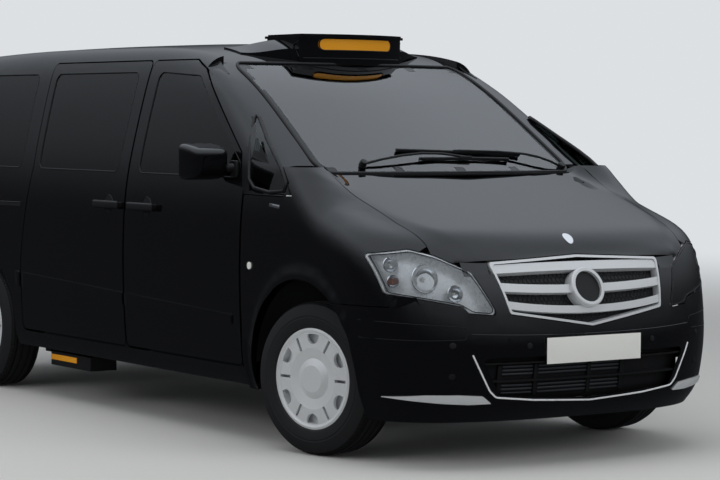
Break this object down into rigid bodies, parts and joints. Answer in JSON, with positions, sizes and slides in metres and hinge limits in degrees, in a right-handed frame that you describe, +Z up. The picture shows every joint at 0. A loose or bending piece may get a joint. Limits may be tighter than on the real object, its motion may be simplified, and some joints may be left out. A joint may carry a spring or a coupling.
{
  "type": "taxi cab",
  "caption": "Van-based passenger taxi cab with hinged front doors, bonnet and tailgate, steered front wheels, rolling wheels and a roof sign.",
  "frame": {"origin": "centre of the overall bounding box in plan, on the ground", "axes": "+X forward, +Y to the left, +Z up"},
  "size_m": [5.0114, 2.276, 1.875],
  "materials": {
    "black_plastic": "textured",
    "body_paint": "gloss",
    "bonnet_paint": "gloss",
    "bumper_paint": "gloss",
    "dark_iron": "cast",
    "dash_plastic": "textured",
    "door_paint": "gloss",
    "engine_alloy": "cast",
    "grille_silver": "satin",
    "lamp_chrome": "polished",
    "lamp_glass": "gloss",
    "partition_plastic": "textured",
    "screen_glass": "gloss",
    "seat_leather": "grained",
    "side_glass": "gloss",
    "sign_amber": "gloss",
    "sign_paint": "gloss",
    "tail_red": "gloss",
    "tailgate_paint": "gloss",
    "tyre_rubber": "matt",
    "underbody": "matt",
    "wheel_silver": "satin"
  },
  "bodies": {
    "cab_body": {"body_sides": "body_paint", "bumpers": "bumper_paint", "chassis_legs": "underbody", "cowl_panel": "black_plastic", "dashboard": "dash_plastic", "engine_block": "engine_alloy", "firewall": "underbody", "fixed_side_glass": "side_glass", "floor_pan": "underbody", "front_axle": "dark_iron", "front_wings": "body_paint", "grille": "grille_silver", "grille_mesh": "black_plastic", "headlamp_housings": "lamp_chrome", "headlamp_lenses": "lamp_glass", "intake_grid": "black_plastic", "partition": "partition_plastic", "rear_axle": "dark_iron", "roof_panel": "body_paint", "roof_sign_lens": "sign_amber", "roof_sign_pod": "sign_paint", "seats": "seat_leather", "side_steps": "black_plastic", "sliding_door_glass": "side_glass", "sliding_doors": "body_paint", "steering_wheel": "dash_plastic", "tail_lamps": "tail_red", "wheel_liners": "black_plastic", "windscreen": "screen_glass"},
    "bonnet_lid": {"bonnet": "bonnet_paint"},
    "tailgate_lid": {"tailgate": "tailgate_paint", "tailgate_glass": "side_glass"},
    "door_front_right": {"front_door_right": "door_paint", "front_door_glass_right": "side_glass", "mirror_right": "black_plastic"},
    "door_front_left": {"front_door_left": "door_paint", "front_door_glass_left": "side_glass", "mirror_left": "black_plastic"},
    "knuckle_right": {"knuckle_right": "dark_iron"},
    "knuckle_left": {"knuckle_left": "dark_iron"},
    "wheel_front_right": {"tyre_front_right": "tyre_rubber", "rim_front_right": "wheel_silver"},
    "wheel_front_left": {"tyre_front_left": "tyre_rubber", "rim_front_left": "wheel_silver"},
    "wheel_rear_right": {"tyre_rear_right": "tyre_rubber", "rim_rear_right": "wheel_silver"},
    "wheel_rear_left": {"tyre_rear_left": "tyre_rubber", "rim_rear_left": "wheel_silver"}
  },
  "joints": [
    {"name": "bonnet_hinge", "type": "hinge", "parent": "cab_body", "child": "bonnet_lid", "pos_m": [1.497, 0, 1.243], "axis": [0, -1, 0], "range_deg": [0, 52]},
    {"name": "tailgate_hinge", "type": "hinge", "parent": "cab_body", "child": "tailgate_lid", "pos_m": [-2.342, 0, 1.79], "axis": [0, 1, 0], "range_deg": [0, 86]},
    {"name": "front_door_right_hinge", "type": "hinge", "parent": "cab_body", "child": "door_front_right", "pos_m": [1.144, -0.952, 0.72], "axis": [0, 0.0349, 0.9994], "range_deg": [0, 67]},
    {"name": "front_door_left_hinge", "type": "hinge", "parent": "cab_body", "child": "door_front_left", "pos_m": [1.144, 0.952, 0.72], "axis": [0, 0.0349, -0.9994], "range_deg": [0, 67]},
    {"name": "steer_left", "type": "hinge", "parent": "cab_body", "child": "knuckle_left", "pos_m": [1.643, 0.727, 0.3365], "axis": [0, 0, 1], "range_deg": [-49.5, 24.5]},
    {"name": "steer_right", "type": "hinge", "parent": "cab_body", "child": "knuckle_right", "pos_m": [1.643, -0.727, 0.3365], "axis": [0, 0, 1], "range_deg": [-49.5, 24.5]},
    {"name": "spin_front_left", "type": "hinge", "parent": "knuckle_left", "child": "wheel_front_left", "pos_m": [1.62395, 0.81291, 0.3365], "axis": [-0.2164, 0.9763, 0], "continuous": true},
    {"name": "spin_front_right", "type": "hinge", "parent": "knuckle_right", "child": "wheel_front_right", "pos_m": [1.66205, -0.81291, 0.3365], "axis": [-0.2164, 0.9763, 0], "continuous": true},
    {"name": "spin_rear_left", "type": "hinge", "parent": "cab_body", "child": "wheel_rear_left", "pos_m": [-1.557, 0.815, 0.3365], "axis": [0, 1, 0], "continuous": true},
    {"name": "spin_rear_right", "type": "hinge", "parent": "cab_body", "child": "wheel_rear_right", "pos_m": [-1.557, -0.815, 0.3365], "axis": [0, 1, 0], "continuous": true}
  ],
  "couplings": [
    {"joint": "steer_right", "follows": "steer_left", "ratio": 1}
  ]
}
